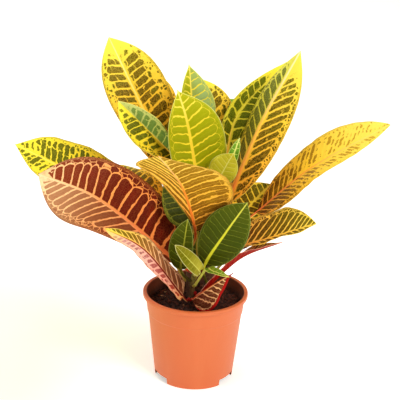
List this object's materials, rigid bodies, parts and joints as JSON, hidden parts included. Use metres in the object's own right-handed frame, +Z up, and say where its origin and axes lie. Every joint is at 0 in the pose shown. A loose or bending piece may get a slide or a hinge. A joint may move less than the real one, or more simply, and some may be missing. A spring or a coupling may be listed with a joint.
{
  "type": "potted croton",
  "caption": "Bushy croton with broad, waved, net-veined leaves on woody stems, standing in a tapered plastic nursery pot of dark soil.",
  "frame": {"origin": "middle of the pot's foot, on the surface that it stands on", "axes": "+Z up along the pot's axis, +X to the right along the widest spread of the leaves, -Y towards the front of the plant"},
  "size_m": [0.4486, 0.3307, 0.4154],
  "materials": {
    "pot_plastic": "satin terracotta-coloured moulded plastic",
    "peat": "dark crumbly peat with bits of bark",
    "bark": "matt green-brown young bark with leaf scars",
    "leaf_yellow": "glossy yellow leaf with green and brown blotches between its veins",
    "leaf_green": "glossy yellow-green leaf with pale yellow veins",
    "leaf_dark": "glossy dark green leaf with yellow midrib and veins",
    "leaf_red": "glossy dark red leaf with orange and pink veins"
  },
  "bodies": {
    "root": {"pot": "pot_plastic", "soil": "peat", "stem_tall": "bark", "stem_leaning": "bark", "stem_low": "bark", "leaf_upper_left": "leaf_yellow", "leaf_upper_left_front": "leaf_yellow", "leaf_centre": "leaf_green", "leaf_centre_behind": "leaf_green", "leaf_centre_back": "leaf_yellow", "leaf_right_behind": "leaf_dark", "leaf_upper_right": "leaf_yellow", "leaf_far_right": "leaf_yellow", "leaf_lower_right": "leaf_dark", "leaf_edge_right": "leaf_red", "leaf_low_front": "leaf_red", "leaf_far_left": "leaf_yellow", "leaf_left_large": "leaf_red", "leaf_low_left": "leaf_red", "leaf_middle_front": "leaf_yellow", "leaf_dark_front": "leaf_dark", "leaf_dark_small": "leaf_dark", "leaf_young_curled": "leaf_green", "leaf_young_green": "leaf_green", "leaf_light_centre": "leaf_green", "leaf_right_small": "leaf_dark", "leaf_young_narrow": "leaf_green", "leaf_shaded": "leaf_dark", "leaf_inner_left": "leaf_dark", "leaf_inner_right": "leaf_dark", "leaf_back_left": "leaf_yellow", "leaf_back_centre": "leaf_yellow", "leaf_back_right": "leaf_yellow", "leaf_back_low": "leaf_dark", "leaf_back_upper_left": "leaf_yellow", "leaf_back_low_right": "leaf_red", "leaf_back_low_left": "leaf_dark", "leaf_back_upper": "leaf_green"}
  },
  "joints": []
}
